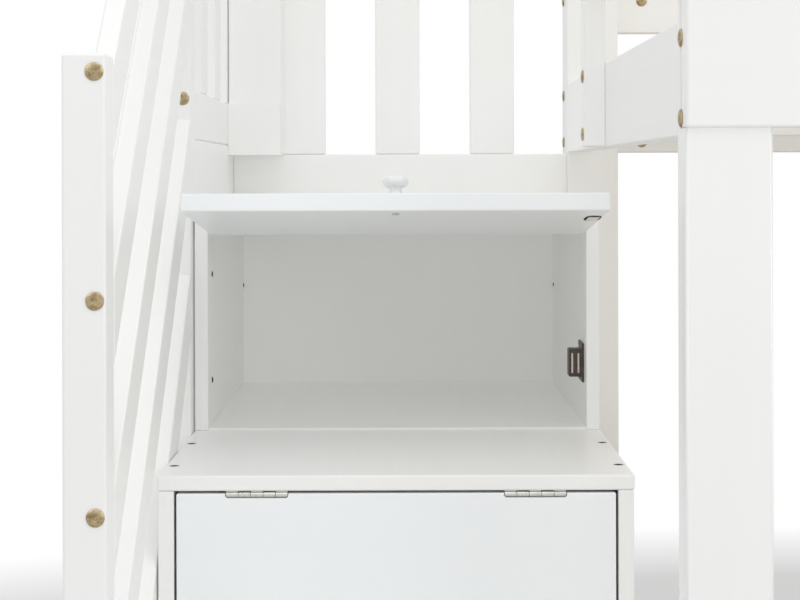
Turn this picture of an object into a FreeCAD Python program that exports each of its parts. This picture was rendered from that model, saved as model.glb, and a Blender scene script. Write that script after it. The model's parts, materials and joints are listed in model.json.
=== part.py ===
"""Low bunk bed with a storage staircase at its left end, all boards painted white.

Three stacked boxes make the stairs: two steps and a landing level with the upper
bunk. A flap door hangs at the top of each box on two butt hinges, and the landing's
door is modelled swung up and open. Layout: x runs along the bed, y to the back, z up.
Lengths are in millimetres. The layout's own zero is the left outer face of the
stairs, the bed's front plane and the floor; every piece is then moved by CENTRE, so
that the origin lies at the middle of the underside of the whole.
"""
import FreeCAD
import Part
import Sketcher
import math
import os
import re

VECTOR = FreeCAD.Vector
AXIS_X = VECTOR(1, 0, 0)
AXIS_Y = VECTOR(0, 1, 0)
AXIS_Z = VECTOR(0, 0, 1)

doc = FreeCAD.newDocument("BunkBedWithStairs")
sheet = doc.addObject("Spreadsheet::Sheet", "Sizes")

SIZES = [
    # Stairs: three boxes of boards
    ("step_rise", 271), ("step_run", 276), ("stair_inner", 455), ("panel_thick", 16),
    ("tread_thick", 16), ("tread_overhang", 1), ("stair_forward", 18),
    ("compartment_depth", 405), ("back_thick", 12), ("base_thick", 16),
    ("liner_thick", 3), ("landing_thick", 16),
    # Flap doors and their fittings
    ("door_thick", 19), ("door_side_gap", 2.5), ("door_top_gap", 2.5),
    ("door_bottom_gap", 2.5), ("door_open_angle", 98),
    ("hinge_length", 63.5), ("hinge_offset", 142.6), ("hinge_drop", 3.8),
    ("hinge_setback", 2.9), ("knuckle_radius", 2.75), ("pin_radius", 1.2),
    ("pin_clearance", 0.05), ("knuckle_gap", 0.3), ("leaf_thick", 1.2),
    ("leaf_width", 15), ("notch_clearance", 0.6),
    ("knob_height", 22), ("knob_head_radius", 13.8), ("knob_stem_radius", 6.9),
    ("knob_foot_radius", 9), ("knob_edge_distance", 24), ("knob_screw_radius", 4),
    ("knob_screw_head", 2),
    ("strike_length", 45), ("strike_width", 17), ("strike_thick", 1.2),
    ("strike_side_inset", 2), ("strike_edge_distance", 72),
    ("catch_clearance", 0.3), ("catch_flange_thick", 2.5), ("catch_flange_depth", 42),
    ("catch_flange_height", 48), ("catch_block_width", 16), ("catch_block_depth", 20),
    ("catch_block_height", 34), ("catch_plate_thick", 1.2), ("catch_plate_reach", 2),
    # Screws and bolts
    ("tread_screw_radius", 6.2), ("tread_screw_recess", 0.4), ("tread_screw_depth", 3),
    ("tread_screw_first", 57), ("tread_screw_second", 190), ("wall_screw_radius", 3.4),
    ("wall_screw_head", 1), ("wall_screw_inset", 39), ("wall_screw_low", 56),
    ("wall_screw_high", 186), ("back_screw_radius", 2.6), ("back_screw_height", 146),
    ("bolt_head_radius", 8), ("bolt_head_height", 2.2), ("bolt_shank_radius", 3),
    ("bolt_shank_length", 12),
    # Guards of the stairs
    ("guard_gap", 1), ("newel_width", 38), ("newel_depth", 38), ("newel_height", 954),
    ("bar_thick", 19), ("bar_width", 52), ("bar_pitch", 185), ("bar_lowest", 166),
    ("bar_slope", 1.1), ("bar_bolt_rise", 21), ("landing_post_height", 1492),
    ("landing_post_lead", 16), ("rail_drop", 80), ("rail_height", 60),
    ("skirt_height", 67), ("skirt_below", 40), ("skirt_thick", 19),
    ("guard_slat_width", 66), ("guard_slat_pitch", 140.6), ("guard_slat_thick", 16),
    ("side_slat_width", 60), ("side_slat_pitch", 140), ("side_slat_first", 78),
    ("handrail_height", 60), ("guard_top", 1349), ("corner_block_proud", 14),
    ("corner_block_height", 76), ("link_post_thick", 25),
    # Bed
    ("bed_gap", 8), ("bed_clear_width", 980), ("bed_clear_length", 1920),
    ("bed_front_offset", 8), ("post_width", 76), ("post_depth", 38),
    ("post_top_margin", 11), ("bed_rail_thick", 25), ("bed_rail_height", 102),
    ("rail_proud", 5), ("upper_rail_bottom", 882), ("lower_rail_bottom", 80),
    ("front_rail_height", 140), ("front_rail_lift", 7), ("bolt_inset", 16),
    ("guard_board_height", 98), ("guard_board_thick", 19), ("guard_board_gap", 79),
    ("batten_thick", 25), ("batten_depth", 38), ("cleat_size", 25), ("cleat_rise", 25),
    ("slat_width", 70), ("slat_thick", 15), ("slat_end_clearance", 3),
    ("dowel_distance", 42), ("edge_round", 3), ("edge_ease", 1.5),
]
COUNTS = {"steps": 3, "bars": 5, "bed_slats": 13, "guard_slats": 3, "knuckles": 5}

for line, (name, amount) in enumerate(SIZES, start=1):
    sheet.set("A%d" % line, name)
    sheet.set("B%d" % line, str(amount))
    sheet.setAlias("B%d" % line, name)
doc.recompute()
ALIASES = {name for name, amount in SIZES}


class Values:
    """The numbers of the sheet, read back from its cells."""

    def __getattr__(self, name):
        return float(sheet.get(name))


v = Values()


def formula(text):
    """A formula in the sheet's words, such as 'post_width + 2 * rail_proud'."""
    return re.sub(r"[a-z_]+", lambda word: "Sizes." + word.group(0)
                  if word.group(0) in ALIASES else word.group(0), text)


# Levels and planes worked out from the sizes

def tread_top(step):
    """Height of the top of tread 1, 2 or 3 (the landing)."""
    return v.step_rise * step


def box_front(step):
    """Where the front edge of a step's box lies, from the front to the back."""
    return v.step_run * (step - 1) - v.stair_forward


STAIR_WIDTH = v.stair_inner + 2 * v.panel_thick
LANDING = tread_top(COUNTS["steps"])
BACK_FRONT = box_front(COUNTS["steps"]) + v.compartment_depth
STAIR_REAR = BACK_FRONT + v.back_thick
GUARD_REAR = STAIR_REAR + v.skirt_thick
GUARD_INNER = -v.tread_overhang - v.guard_gap
BED_LEFT = STAIR_WIDTH + v.bed_gap
BED_LENGTH = v.bed_clear_length + 2 * v.bed_rail_thick
BED_RIGHT = BED_LEFT + BED_LENGTH
RAIL_FRONT = v.bed_front_offset
POST_FRONT = RAIL_FRONT + v.rail_proud
CLEAR_FRONT = RAIL_FRONT + v.bed_rail_thick
CLEAR_REAR = CLEAR_FRONT + v.bed_clear_width
RAIL_REAR_END = CLEAR_REAR + v.bed_rail_thick
REAR_POST_FRONT = RAIL_REAR_END - v.rail_proud - v.post_depth
RAIL_TOP = v.upper_rail_bottom + v.bed_rail_height
BOARD_LEVELS = [RAIL_TOP + v.guard_board_gap,
                RAIL_TOP + 2 * v.guard_board_gap + v.guard_board_height]
POST_TOP = BOARD_LEVELS[1] + v.guard_board_height + v.post_top_margin

LEFT_END = GUARD_INNER - v.newel_width
FRONT_END = box_front(1) - v.knob_height
CENTRE = VECTOR((LEFT_END + BED_RIGHT) / 2, (FRONT_END + RAIL_REAR_END) / 2, 0)

nodes = []


def node(thing, label):
    """Give a finished sub-part its name and keep it for the export."""
    thing.Label = label
    nodes.append(thing)
    return thing


def place(thing, x, y, z, rotation=None):
    """Move a thing to a place of the layout, given in the layout's own frame."""
    turn = rotation or FreeCAD.Rotation()
    thing.Placement = FreeCAD.Placement(VECTOR(x, y, z) - CENTRE, turn)
    return thing


def block(size, at):
    """A box whose three sides are formulas of the sheet."""
    box = doc.addObject("Part::Box", "Block")
    for side, text in zip(("Length", "Width", "Height"), size):
        box.setExpression(side, formula(text))
    place(box, *at)
    doc.recompute()
    return box


def eased(base, radius, direction):
    """Round the edges of a block that run along one direction."""
    rounding = doc.addObject("Part::Fillet", "Rounded")
    rounding.Base = base
    along = []
    for number, edge in enumerate(base.Shape.Edges, start=1):
        run = edge.Vertexes[-1].Point - edge.Vertexes[0].Point
        if run.Length > 0 and abs(run.normalize().dot(direction)) > 0.999:
            along.append((number, radius, radius))
    rounding.Edges = along
    doc.recompute()
    return rounding


def board(label, size, at, direction, radius=None):
    """A board with four long edges rounded, as one sub-part."""
    amount = v.edge_round if radius is None else radius
    return node(eased(block(size, at), amount, direction), label)


def together(label, pieces):
    """Several separate equal pieces as one sub-part."""
    group = doc.addObject("Part::Compound", "Group")
    group.Links = pieces
    return node(group, label)


def cut_from(base, tools):
    """A piece with several tools taken out of it."""
    tool = tools[0]
    if len(tools) > 1:
        tool = doc.addObject("Part::MultiFuse", "Tools")
        tool.Shapes = tools
    result = doc.addObject("Part::Cut", "Cut")
    result.Base = base
    result.Tool = tool
    doc.recompute()
    return result


def upright(radius, height, at):
    """A vertical cylinder whose sizes are formulas of the sheet."""
    rod = doc.addObject("Part::Cylinder", "Rod")
    rod.setExpression("Radius", formula(radius))
    rod.setExpression("Height", formula(height))
    place(rod, *at)
    return rod


def shape_at(shape, at, direction=AXIS_Z):
    """A copy of a bare shape moved to the layout and turned from z to a direction."""
    turned = shape.copy()
    turned.Placement = FreeCAD.Placement(VECTOR(*at) - CENTRE,
                                         FreeCAD.Rotation(AXIS_Z, direction))
    return turned


def shapes(label, parts):
    """Equal fasteners worked out as bare shapes, as one sub-part."""
    feature = doc.addObject("Part::Feature", "Fasteners")
    feature.Shape = Part.makeCompound(parts)
    return node(feature, label)


# Stairs: boxes, treads and back

def tread_screw_places(step):
    """Centres of the four screws through a tread into the panels' top edges."""
    places = []
    for x in (v.panel_thick / 2, STAIR_WIDTH - v.panel_thick / 2):
        for back in (v.tread_screw_first, v.tread_screw_second):
            places.append((x, box_front(step) + back, tread_top(step)))
    return places


def step_box(step):
    """The two side panels and the tread of one step."""
    below = tread_top(step - 1)
    front = box_front(step)
    depth = "compartment_depth + %d * step_run" % (COUNTS["steps"] - step)
    height = "step_rise - tread_thick"
    for side, x in (("left", 0), ("right", STAIR_WIDTH - v.panel_thick)):
        board("step%d_side_%s" % (step, side), ("panel_thick", depth, height),
              (x, front, below), AXIS_Z, v.edge_ease)
    length = depth
    if step == COUNTS["steps"]:
        length = "compartment_depth + back_thick + skirt_thick"
    tread = eased(block(("stair_inner + 2 * panel_thick + 2 * tread_overhang", length,
                         "tread_thick"),
                        (-v.tread_overhang, front, tread_top(step) - v.tread_thick)),
                  v.edge_ease, AXIS_X)
    holes = []
    for x, y, top in tread_screw_places(step):
        hole = upright("tread_screw_radius", "tread_screw_depth + 1",
                       (x, y, top - v.tread_screw_depth))
        holes.append(hole)
    name = "landing_board" if step == COUNTS["steps"] else "step%d_tread" % step
    node(cut_from(tread, holes), name)


def carcass():
    """Base board, back panel and the thin liners of the compartments."""
    board("step1_base_board",
          ("stair_inner", "compartment_depth + 2 * step_run", "base_thick"),
          (v.panel_thick, box_front(1), 0), AXIS_X, v.edge_ease)
    board("stair_back_panel",
          ("stair_inner + 2 * panel_thick", "back_thick",
           "3 * step_rise - tread_thick"), (0, BACK_FRONT, 0), AXIS_Z, v.edge_ease)
    liners = []
    for step in range(2, COUNTS["steps"] + 1):
        depth = "compartment_depth + %d * step_run" % (COUNTS["steps"] - step)
        liners.append(block(("stair_inner", depth, "liner_thick"),
                            (v.panel_thick, box_front(step), tread_top(step - 1))))
    together("compartment_floor_liners", liners)


# Flap doors

def axis_place(step):
    """The hinge axis of a door: back from its front face, down from the tread."""
    return (box_front(step) + v.hinge_setback,
            tread_top(step) - v.tread_thick - v.hinge_drop)


def door_sill(step):
    """Height of what lies under a door."""
    return v.base_thick if step == 1 else tread_top(step - 1) + v.liner_thick


def swing(step):
    """How far a door is modelled swung up: only the landing's door is open."""
    angle = -v.door_open_angle if step == COUNTS["steps"] else 0
    return FreeCAD.Rotation(AXIS_X, angle)


def hang(feature, step):
    """Place a door piece, drawn around the hinge axis, at its door's own swing."""
    y, z = axis_place(step)
    return place(feature, STAIR_WIDTH / 2, y, z, swing(step))


def axis_block(size, at):
    """A box drawn around the hinge axis, its corner given from that axis."""
    box = doc.addObject("Part::Box", "Block")
    for side, text in zip(("Length", "Width", "Height"), size):
        box.setExpression(side, formula(text))
    box.Placement.Base = VECTOR(*at)
    doc.recompute()
    return box


def door(step):
    """A flap door with a notch for each hinge in its top edge."""
    height = "step_rise - tread_thick - liner_thick - door_top_gap - door_bottom_gap"
    if step == 1:
        height = "step_rise - tread_thick - base_thick - door_top_gap - door_bottom_gap"
    top = v.hinge_drop - v.door_top_gap
    tall = tread_top(step) - v.tread_thick - v.door_top_gap
    tall -= door_sill(step) + v.door_bottom_gap
    width = v.stair_inner - 2 * v.door_side_gap
    panel = axis_block(("stair_inner - 2 * door_side_gap", "door_thick", height),
                       (-width / 2, -v.hinge_setback, top - tall))
    panel = eased(panel, v.edge_ease, AXIS_X)
    reach = v.knuckle_radius + v.notch_clearance
    notches = []
    for side in (-1, 1):
        middle = side * v.hinge_offset
        notches.append(axis_block(
            ("hinge_length + 2 * notch_clearance",
             "hinge_setback + 1 + knuckle_radius + notch_clearance",
             "hinge_drop - door_top_gap + 1 + knuckle_radius + notch_clearance"),
            (middle - v.hinge_length / 2 - v.notch_clearance, -v.hinge_setback - 1,
             -reach)))
    node(hang(cut_from(panel, notches), step), "step%d_door" % step
         if step < COUNTS["steps"] else "landing_door")


def barrel(part):
    """Knuckle tubes of a hinge on the x axis: part 0 is fixed, part 1 moves."""
    tubes = []
    pitch = v.hinge_length / COUNTS["knuckles"]
    bore = v.pin_radius + (v.pin_clearance if part else 0)
    for number in range(part, COUNTS["knuckles"], 2):
        start = -v.hinge_length / 2 + number * pitch + v.knuckle_gap / 2
        length = pitch - v.knuckle_gap
        tube = Part.makeCylinder(v.knuckle_radius, length, VECTOR(start, 0, 0), AXIS_X)
        if part:
            low = v.hinge_drop - v.door_top_gap
            high = low + v.leaf_thick
            web = Part.makeBox(length, v.knuckle_radius + 0.6, high,
                               VECTOR(start, 0, 0))
        else:
            high = v.hinge_drop
            web = Part.makeBox(length, v.knuckle_radius, high, VECTOR(start, 0, 0))
        tube = tube.fuse(web)
        core = Part.makeCylinder(bore, length + 2, VECTOR(start - 1, 0, 0), AXIS_X)
        tubes.append(tube.cut(core))
    return tubes


def leaf(part):
    """One leaf of a hinge with its knuckles; the hinge's middle is the origin."""
    if part:
        bottom = v.hinge_drop - v.door_top_gap
        start = v.knuckle_radius + 0.3
    else:
        bottom = v.hinge_drop - v.leaf_thick
        start = v.knuckle_radius - 0.3
    plate = Part.makeBox(v.hinge_length, v.leaf_width - start, v.leaf_thick,
                         VECTOR(-v.hinge_length / 2, start, bottom))
    for tube in barrel(part):
        plate = plate.fuse(tube)
    return plate.removeSplitter()


def hinge_parts(shape, step):
    """Two copies of a hinge piece at a door's hinges, unswung."""
    y, z = axis_place(step)
    return [shape_at(shape, (STAIR_WIDTH / 2 + side * v.hinge_offset, y, z))
            for side in (-1, 1)]


def hinges():
    """Leaves screwed under the treads, and the pins."""
    fixed = leaf(0)
    pin = Part.makeCylinder(v.pin_radius, v.hinge_length,
                            VECTOR(-v.hinge_length / 2, 0, 0), AXIS_X)
    steps = range(1, COUNTS["steps"] + 1)
    shapes("hinge_fixed_leaves", [part for step in steps
                                  for part in hinge_parts(fixed, step)])
    shapes("hinge_pins", [part for step in steps for part in hinge_parts(pin, step)])


def door_fittings(step):
    """Moving hinge leaves, strike plate and knob screw of a door: plated steel."""
    inner = v.door_thick - v.hinge_setback
    free_edge = free_edge_height(step)
    half = v.stair_inner / 2 - v.door_side_gap
    pieces = []
    moving = leaf(1)
    for side in (-1, 1):
        part = moving.copy()
        part.translate(VECTOR(side * v.hinge_offset, 0, 0))
        pieces.append(part)
    strike = Part.makeBox(v.strike_width, v.strike_thick, v.strike_length, VECTOR(
        half - v.strike_side_inset - v.strike_width, inner,
        free_edge + v.strike_edge_distance - v.strike_length / 2))
    pieces.append(strike)
    head = Part.makeCylinder(v.knob_screw_radius, v.knob_screw_head, VECTOR(
        0, inner, free_edge + v.knob_edge_distance), AXIS_Y)
    head = head.makeFillet(v.knob_screw_head * 0.6, [head.Edges[0]])
    pieces.append(head)
    feature = doc.addObject("Part::Feature", "DoorFittings")
    feature.Shape = Part.makeCompound(pieces)
    node(hang(feature, step), door_name(step) + "_fittings")


def door_name(step):
    """A door's name without its piece."""
    return "landing_door" if step == COUNTS["steps"] else "step%d_door" % step


def free_edge_height(step):
    """Height of a door's lower edge, measured from its hinge axis."""
    return door_sill(step) + v.door_bottom_gap - axis_place(step)[1]


def knob_profile():
    """Half outline of the turned knob: foot, short neck and rounded head."""
    foot, stem, head = v.knob_foot_radius, v.knob_stem_radius, v.knob_head_radius
    tall = v.knob_height
    neck, brow, rim = tall * 0.2, tall * 0.4, tall * 0.68
    lines = [Part.LineSegment(VECTOR(0, 0, 0), VECTOR(foot, 0, 0)),
             Part.Arc(VECTOR(foot, 0, 0), VECTOR(stem + 0.6, 0, neck * 0.5),
                      VECTOR(stem, 0, neck)),
             Part.LineSegment(VECTOR(stem, 0, neck), VECTOR(stem, 0, brow)),
             Part.Arc(VECTOR(stem, 0, brow), VECTOR(head * 0.84, 0, tall * 0.49),
                      VECTOR(head, 0, rim)),
             Part.Arc(VECTOR(head, 0, rim), VECTOR(head * 0.82, 0, tall * 0.9),
                      VECTOR(stem / 2, 0, tall)),
             Part.LineSegment(VECTOR(stem / 2, 0, tall), VECTOR(0, 0, tall)),
             Part.LineSegment(VECTOR(0, 0, tall), VECTOR(0, 0, 0))]
    return Part.Wire([line.toShape() for line in lines])


def knob(step):
    """The turned wooden knob near the middle of a door's free edge."""
    body = Part.Face(knob_profile()).revolve(VECTOR(0, 0, 0), AXIS_Z, 360)
    body.rotate(VECTOR(0, 0, 0), AXIS_X, 90)
    body.translate(VECTOR(0, -v.hinge_setback,
                          free_edge_height(step) + v.knob_edge_distance))
    feature = doc.addObject("Part::Feature", "Knob")
    feature.Shape = Part.makeCompound([body])
    node(hang(feature, step), door_name(step) + "_knob")


def catches():
    """Magnetic catches on the right panel, each just behind its door's strike."""
    bodies = []
    plates = []
    wall = STAIR_WIDTH - v.panel_thick
    for step in range(1, COUNTS["steps"] + 1):
        height = axis_place(step)[1] + free_edge_height(step) + v.strike_edge_distance
        front = box_front(step) + v.door_thick + v.strike_thick + v.catch_clearance
        face = front + v.catch_plate_reach
        flange = Part.makeBox(v.catch_flange_thick, v.catch_flange_depth,
                              v.catch_flange_height,
                              VECTOR(-v.catch_flange_thick, 0,
                                     -v.catch_flange_height / 2))
        magnet = Part.makeBox(v.catch_block_width, v.catch_block_depth,
                              v.catch_block_height,
                              VECTOR(-v.catch_flange_thick - v.catch_block_width, 0,
                                     -v.catch_block_height / 2))
        bodies.append(shape_at(flange.fuse(magnet).removeSplitter(),
                               (wall, face, height)))
        for share in (0.3, 0.7):
            plate = Part.makeBox(v.catch_block_width - 4, v.catch_plate_reach,
                                 v.catch_plate_thick)
            low = height + v.catch_block_height * (share - 0.5)
            plates.append(shape_at(plate, (wall - v.catch_flange_thick
                                           - v.catch_block_width + 2, front, low)))
    shapes("catch_magnets", bodies)
    shapes("catch_pole_plates", plates)


# Screws and bolts

def screw_disc(radius, height):
    """A flat screw head with a shallow cross in it."""
    disc = Part.makeCylinder(radius, height)
    for angle in (0, 90):
        slot = Part.makeBox(radius * 1.2, radius * 0.24, height / 2,
                            VECTOR(-radius * 0.6, -radius * 0.12, height / 2))
        slot.rotate(VECTOR(0, 0, 0), AXIS_Z, angle)
        disc = disc.cut(slot)
    return disc


def panel_screws():
    """Screws through the treads, and the small ones inside the compartments."""
    parts = []
    deep = v.tread_screw_depth - v.tread_screw_recess
    flat = screw_disc(v.tread_screw_radius - 0.2, deep)
    for step in range(1, COUNTS["steps"] + 1):
        for x, y, top in tread_screw_places(step):
            parts.append(shape_at(flat, (x, y, top - v.tread_screw_depth)))
    small = screw_disc(v.wall_screw_radius, v.wall_screw_head)
    tiny = screw_disc(v.back_screw_radius, v.wall_screw_head)
    left = v.panel_thick
    right = STAIR_WIDTH - v.panel_thick
    for step in range(1, COUNTS["steps"] + 1):
        floor = tread_top(step - 1)
        for up in (v.wall_screw_low, v.wall_screw_high):
            parts.append(shape_at(small, (left, box_front(step) + v.wall_screw_inset,
                                          floor + up), AXIS_X))
        for x, way in ((left, AXIS_X), (right, VECTOR(-1, 0, 0))):
            parts.append(shape_at(tiny, (x, BACK_FRONT - v.back_screw_radius - 1,
                                         floor + v.back_screw_height), way))
    shapes("panel_screws", parts)


def bolt_head():
    """A domed bolt head with a hexagon socket, its flat side on the origin."""
    radius, tall = v.bolt_head_radius, v.bolt_head_height
    lines = [Part.LineSegment(VECTOR(0, 0, 0), VECTOR(radius, 0, 0)),
             Part.LineSegment(VECTOR(radius, 0, 0), VECTOR(radius, 0, tall * 0.3)),
             Part.Arc(VECTOR(radius, 0, tall * 0.3),
                      VECTOR(radius * 0.8, 0, tall * 0.75),
                      VECTOR(radius * 0.4, 0, tall)),
             Part.LineSegment(VECTOR(radius * 0.4, 0, tall), VECTOR(0, 0, tall)),
             Part.LineSegment(VECTOR(0, 0, tall), VECTOR(0, 0, 0))]
    wire = Part.Wire([line.toShape() for line in lines])
    dome = Part.Face(wire).revolve(VECTOR(0, 0, 0), AXIS_Z, 360)
    corners = [VECTOR(radius * 0.3 * math.cos(math.radians(60 * number)),
                      radius * 0.3 * math.sin(math.radians(60 * number)),
                      tall * 0.45) for number in range(7)]
    socket = Part.Face(Part.makePolygon(corners)).extrude(AXIS_Z * tall)
    return dome.cut(socket)


def bolts():
    """Every brass bolt head of the bed and of the stairs' guards."""
    head = bolt_head()
    left = VECTOR(-1, 0, 0)
    front = VECTOR(0, -1, 0)
    parts = []
    middle = GUARD_INNER - v.bar_thick / 2
    heights = [v.bar_lowest + number * v.bar_pitch + v.bar_bolt_rise
               for number in range(COUNTS["bars"] - 1)]
    for height in heights + [v.newel_height - v.bolt_inset]:
        parts.append(shape_at(head, (middle, 0, height), front))
    rail_top = LANDING + v.rail_drop + v.rail_height
    parts.append(shape_at(head, (middle, landing_post_front(),
                                 rail_top - v.bolt_inset * 0.75), front))
    inset = v.bolt_inset
    for x in (BED_LEFT,):
        for y in (POST_FRONT + v.post_depth / 2, REAR_POST_FRONT + v.post_depth / 2):
            for bottom in (v.upper_rail_bottom, v.lower_rail_bottom):
                for height in (bottom + inset, bottom + v.bed_rail_height - inset):
                    parts.append(shape_at(head, (x, y, height), left))
            for level in BOARD_LEVELS:
                parts.append(shape_at(head, (x, y, level + v.guard_board_height / 2),
                                      left))
    batten_left = BED_LEFT - v.batten_thick
    middle = batten_front() + v.batten_depth / 2
    for height in (v.upper_rail_bottom + inset, RAIL_TOP - inset):
        parts.append(shape_at(head, (batten_left, middle, height), left))
    for level in BOARD_LEVELS:
        parts.append(shape_at(head, (batten_left, middle,
                                     level + v.guard_board_height / 2), left))
    x = BED_LEFT + v.post_width + v.dowel_distance
    parts.append(shape_at(head, (x, CLEAR_REAR, v.upper_rail_bottom + inset), front))
    parts.append(shape_at(head, (x, board_rear(), BOARD_LEVELS[0]
                                 + v.guard_board_height / 2), front))
    shapes("bolt_heads", parts)


# Guards of the stairs

def landing_post_front():
    """Front face of the tall post beside the landing."""
    return box_front(COUNTS["steps"]) - v.landing_post_lead


def landing_post_rear():
    """Rear face of the tall post beside the landing."""
    return landing_post_front() + v.newel_depth


def board_rear():
    """Front face of the rear guard boards, which lie in line with the rear rail."""
    return CLEAR_REAR


def slanted_bar(number):
    """One bar of the stair guard: a parallelogram between the newel and the post."""
    body = doc.addObject("PartDesign::Body", "SlantedBar")
    sketch = body.newObject("Sketcher::SketchObject", "BarSide")
    plane = [one for one in body.Origin.OriginFeatures if one.Role == "YZ_Plane"][0]
    sketch.AttachmentSupport = (plane, [""])
    sketch.MapMode = "FlatFace"
    run = landing_post_front() - v.newel_depth
    rise = run * v.bar_slope
    tall = v.bar_width * math.hypot(1, v.bar_slope)
    corners = [VECTOR(0, 0, 0), VECTOR(run, rise, 0), VECTOR(run, rise + tall, 0),
               VECTOR(0, tall, 0)]
    for start, end in zip(corners, corners[1:] + corners[:1]):
        sketch.addGeometry(Part.LineSegment(start, end), False)
    for side in range(4):
        sketch.addConstraint(Sketcher.Constraint("Coincident", side, 2,
                                                 (side + 1) % 4, 1))
    sketch.addConstraint(Sketcher.Constraint("Coincident", 0, 1, -1, 1))
    sketch.addConstraint(Sketcher.Constraint("Vertical", 1))
    sketch.addConstraint(Sketcher.Constraint("Vertical", 3))
    sketch.addConstraint(Sketcher.Constraint("Parallel", 0, 2))
    across = sketch.addConstraint(Sketcher.Constraint("DistanceX", 0, 1, 0, 2, run))
    up = sketch.addConstraint(Sketcher.Constraint("DistanceY", 0, 1, 0, 2, rise))
    end = sketch.addConstraint(Sketcher.Constraint("DistanceY", 3, 2, 3, 1, tall))
    span = "2 * step_run - stair_forward - landing_post_lead - newel_depth"
    sketch.setExpression("Constraints[%d]" % across, formula(span))
    sketch.setExpression("Constraints[%d]" % up, formula("(%s) * bar_slope" % span))
    sketch.setExpression("Constraints[%d]" % end,
                         formula("bar_width * sqrt(1 + bar_slope * bar_slope)"))
    pad = body.newObject("PartDesign::Pad", "BarPad")
    pad.Profile = sketch
    pad.setExpression("Length", formula("bar_thick"))
    doc.recompute()
    slant = VECTOR(0, 1, v.bar_slope).normalize()
    long_edges = []
    for index, edge in enumerate(pad.Shape.Edges, start=1):
        way = edge.Vertexes[-1].Point - edge.Vertexes[0].Point
        if abs(way.normalize().dot(slant)) > 0.999:
            long_edges.append("Edge%d" % index)
    rounding = body.newObject("PartDesign::Fillet", "BarRound")
    rounding.Base = (pad, long_edges)
    rounding.setExpression("Radius", formula("edge_round"))
    doc.recompute()
    height = v.bar_lowest + number * v.bar_pitch - tall / 2
    place(body, GUARD_INNER - v.bar_thick, v.newel_depth, height)
    return body


def stair_guard():
    """The newel, its slanted bars and the tall post beside the landing."""
    outer = GUARD_INNER - v.newel_width
    board("newel_post", ("newel_width", "newel_depth", "newel_height"),
          (outer, 0, 0), AXIS_Z)
    board("landing_post", ("newel_width", "newel_depth", "landing_post_height"),
          (outer, landing_post_front(), 0), AXIS_Z)
    together("slanted_guard_bars", [slanted_bar(number)
                                    for number in range(COUNTS["bars"])])


def landing_guard():
    """The guard at the landing's outer side: skirt, rail, slats and handrail."""
    start = landing_post_rear()
    span = "compartment_depth + back_thick + 2 * skirt_thick + landing_post_lead"
    span += " - newel_depth"
    x = GUARD_INNER - v.skirt_thick
    board("landing_side_skirt", ("skirt_thick", span, "rail_drop + skirt_below"),
          (x, start, LANDING - v.skirt_below), AXIS_Y)
    board("landing_side_rail", ("skirt_thick", span, "rail_height"),
          (x, start, LANDING + v.rail_drop), AXIS_Y)
    board("landing_side_handrail", ("skirt_thick", span, "handrail_height"),
          (x, start, v.guard_top - v.handrail_height), AXIS_Y)
    tall = "guard_top - handrail_height - 3 * step_rise - rail_drop - rail_height"
    slats = []
    for number in range(COUNTS["guard_slats"]):
        slat = block(("guard_slat_thick", "side_slat_width", tall),
                     (x + 1, start + v.side_slat_first + number * v.side_slat_pitch,
                      LANDING + v.rail_drop + v.rail_height))
        slats.append(eased(slat, v.edge_round, AXIS_Z))
    together("landing_side_slats", slats)


def rear_guard():
    """The guard behind the landing, its corner post and the link to the bed."""
    x = GUARD_INNER - v.skirt_thick
    start = x + v.skirt_thick
    length = "stair_inner + 2 * panel_thick + bed_gap + tread_overhang + guard_gap"
    board("landing_rear_skirt", (length, "skirt_thick", "skirt_height + skirt_below"),
          (start, GUARD_REAR, LANDING - v.skirt_below), AXIS_X)
    board("landing_rear_handrail", (length, "skirt_thick", "handrail_height"),
          (start, GUARD_REAR, v.guard_top - v.handrail_height), AXIS_X)
    tall = "guard_top - handrail_height - 3 * step_rise - skirt_height"
    slats = []
    for number in range(COUNTS["guard_slats"]):
        slat = block(("guard_slat_width", "guard_slat_thick", tall),
                     (start + v.post_width - 5 + number * v.guard_slat_pitch,
                      GUARD_REAR, LANDING + v.skirt_height))
        slats.append(eased(slat, v.edge_round, AXIS_Z))
    together("landing_rear_slats", slats)
    low = LANDING + v.skirt_height - 2
    board("landing_corner_post",
          ("post_width", "post_depth + skirt_thick",
           "guard_top - 3 * step_rise - skirt_height + 2"),
          (start, STAIR_REAR - v.post_depth, low), AXIS_Z)
    board("landing_corner_block",
          ("post_width", "corner_block_proud", "corner_block_height"),
          (start, STAIR_REAR - v.post_depth - v.corner_block_proud, low), AXIS_Z,
          v.edge_ease)
    board("stair_link_post", ("post_width", "link_post_thick", "guard_top"),
          (BED_LEFT, REAR_POST_FRONT - v.link_post_thick, 0), AXIS_Z)


# Bed

def bed_post(label, x, front):
    """A bed post with two notches that take the long rails."""
    tall = ("upper_rail_bottom + bed_rail_height + 2 * guard_board_gap"
            " + 2 * guard_board_height + post_top_margin")
    post = eased(block(("post_width", "post_depth", tall), (x, front, 0)),
                 v.edge_round, AXIS_Z)
    rear = front > v.bed_clear_width / 2
    y = CLEAR_REAR if rear else RAIL_FRONT
    high = "bed_rail_height" if rear else "front_rail_height"
    lift = 0 if rear else v.front_rail_lift
    notches = [block(("post_width", "bed_rail_thick", high), (x, y, bottom + lift))
               for bottom in (v.lower_rail_bottom, v.upper_rail_bottom)]
    node(cut_from(post, notches), label)


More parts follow.
